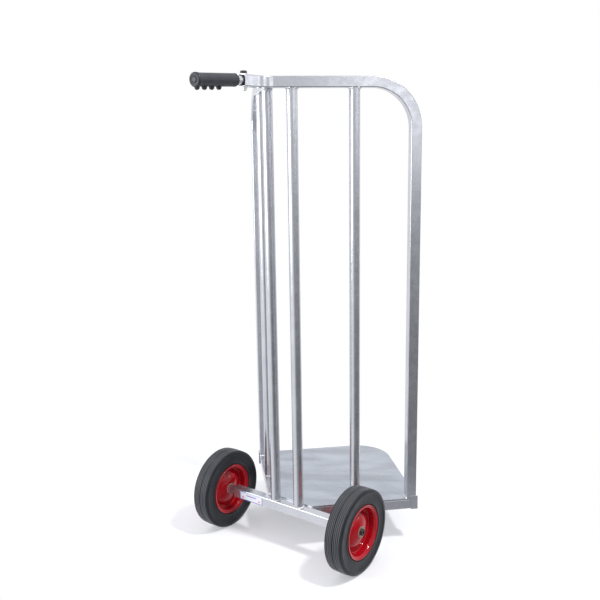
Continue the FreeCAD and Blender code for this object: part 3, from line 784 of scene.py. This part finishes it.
def rib_crest(x, radius):
    """How near a point of the tread is to a rib's top, 0 to 1; one half on the tyre's sides."""
    if abs(x) > RIBS_A_SIDE * RIB_PITCH + RIB_MARGIN or radius < TYRE_R - 0.0040:
        return 0.5
    return 1 - max(0.0, TYRE_R - CROWN_DROP * (x / TREAD_HALF) ** 2 - radius) / GROOVE_DEPTH


def tyre_outline():
    """Ribbed crown, bulging side walls and the bead that grips the rim."""
    steps = 150
    crown = []
    for index in range(steps + 1):
        x = -TREAD_HALF + 2 * TREAD_HALF * index / steps
        crown.append((x, tread_height(x)))
    side = rounded([
        (0.0200, 0.0992), (0.0206, 0.0989), (0.0212, 0.0980), (0.0224, 0.0938),
        (0.0225, 0.0900), (0.0222, 0.0892), (0.0214, 0.0888), (0.0208, 0.0830),
        (0.0202, 0.0760), (0.0203, 0.0702), (0.0209, 0.0698), (0.0211, 0.0685),
        (0.0209, 0.0668), (0.0196, 0.0655), (0.0172, 0.0644), (0.0166, 0.0644),
    ], 2)
    side += [(0.0166, 0.0620), (0.0166, 0.0583)]
    whole = [(-x, r) for x, r in side[::-1]] + crown[1:-1] + side
    return whole[::-1]


def rim_outline():
    """Pressed half: a cone out to the hub, a flat where the halves meet, and the tyre's seat."""
    cone = [
        (0.0136, 0.0133), (0.0132, 0.0156), (0.0124, 0.0190), (0.0086, 0.0330),
        (0.0030, 0.0420), (0.0, 0.0460), (0.0, 0.0490),
    ]
    barrel = [
        (0.0, 0.0490), (0.0, 0.0526), (0.0035, 0.0546), (0.0146, 0.0560),
        (0.0182, 0.0580), (0.0184, 0.0615), (0.0198, 0.0640),
    ]
    line = rounded(cone, 3)[:-1] + rounded(barrel, 3)
    skin = []
    for index, (x, r) in enumerate(line):
        x0, r0 = line[max(index - 1, 0)]
        x1, r1 = line[min(index + 1, len(line) - 1)]
        length = math.hypot(x1 - x0, r1 - r0)
        skin.append((x + RIM_SHEET * (r1 - r0) / length, r - RIM_SHEET * (x1 - x0) / length))
    return line[::-1] + skin


for side, sign in (("left", -1), ("right", 1)):
    body = "wheel_" + side
    centre = middle_of("hub_tube_" + side)
    tyre = turned("tyre_tread_" + side, body, tyre_rubber, tyre_outline(),
                  centre, sign, TYRE_AROUND)
    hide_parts("tyre_" + side)
    across = [v.co.x - centre.x for v in tyre.data.vertices]
    radii = [math.hypot(v.co.y - centre.y, v.co.z - centre.z) for v in tyre.data.vertices]
    tread = tyre.data.attributes.new("tread", "FLOAT", "POINT")
    tread.data.foreach_set("value", [1.0 if r > HATCHED_FROM_R else 0.0 for r in radii])
    crest = tyre.data.attributes.new("crest", "FLOAT", "POINT")
    crest.data.foreach_set("value", [rib_crest(x, r) for x, r in zip(across, radii)])
    outer = turned("rim_face_" + side, body, rim_enamel, rim_outline(),
                   centre, sign, RIM_AROUND)
    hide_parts("rim_outer_" + side)
    inner = turned("rim_back_" + side, body, rim_enamel, rim_outline(),
                   centre, -sign, RIM_AROUND)
    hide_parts("rim_inner_" + side)
    coat(bright_zinc, "hub_tube_" + side, "stub_axle_" + side)
    coat(nylon, "hub_bushes_" + side)
    coat(tube_enamel, "axle_spacer_" + side)
coat(aged_zinc, "wheel_washers")
coat(black_oxide, "wheel_screws")


# ---- Rating label ------------------------------------------------------------------------------
# A printed plastic sticker on the crossbar's rear face: white film with a thin blue frame, a blue
# bar and two small red marks.
FILM_FRAME = 0.0013
FILM_WHITE = (0.74, 0.75, 0.79, 1)
INK_BLUE = (0.10, 0.12, 0.55, 1)
INK_RED = (0.62, 0.10, 0.12, 1)


def ink(name, colour, roughness):
    """Printed film, faintly mottled."""
    material, tree, shader, place = finish(name)
    fibres = spread(tree, noise(tree, place, 800.0, 3.0))
    darker = shade(colour, 0.93)
    link(tree, colour_mix(tree, fibres, darker, colour), shader.inputs["Base Color"])
    gloss = spread(tree, noise(tree, place, 60.0, 3.0), roughness - 0.05, roughness + 0.06)
    link(tree, gloss, shader.inputs["Roughness"])
    relief(tree, shader, [(noise(tree, place, 300.0, 2.0), 0.10, 0.0001)])
    return material


def sticker():
    """Thin sheet cut into a grid; each cell takes the film or one of the inks."""
    low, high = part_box("label")
    wide, tall = high.x - low.x, high.z - low.z
    across = [0, FILM_FRAME, 0.007, 0.0125, 0.020, 0.052]
    across += [wide - 0.0125, wide - 0.007, wide - FILM_FRAME, wide]
    up = [0, FILM_FRAME, 0.0045, 0.0080, 0.0118, 0.0140, tall - FILM_FRAME, tall]
    vertices = [(low.x + x, low.y, low.z + z) for z in up for x in across]
    count = len(across)
    faces, inks = [], []
    for row in range(len(up) - 1):
        for column in range(count - 1):
            start = row * count + column
            faces.append((start, start + 1, start + count + 1, start + count))
            edge = row in (0, len(up) - 2) or column in (0, count - 2)
            red = row == 2 and column in (2, 6)
            bar = row == 4 and column == 4
            inks.append(1 if edge or bar else 2 if red else 0)
    film = ink("label_film", FILM_WHITE, 0.35)
    piece = new_piece("label_sticker", "frame", film, vertices, faces)
    piece.data.materials.append(ink("blue_ink", INK_BLUE, 0.4))
    piece.data.materials.append(ink("red_ink", INK_RED, 0.4))
    piece.data.polygons.foreach_set("material_index", inks)
    piece.data.polygons.foreach_set("use_smooth", [False] * len(inks))
    thick = piece.modifiers.new("film_thickness", "SOLIDIFY")
    thick.thickness = high.y - low.y
    thick.offset = -1
    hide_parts("label")


sticker()
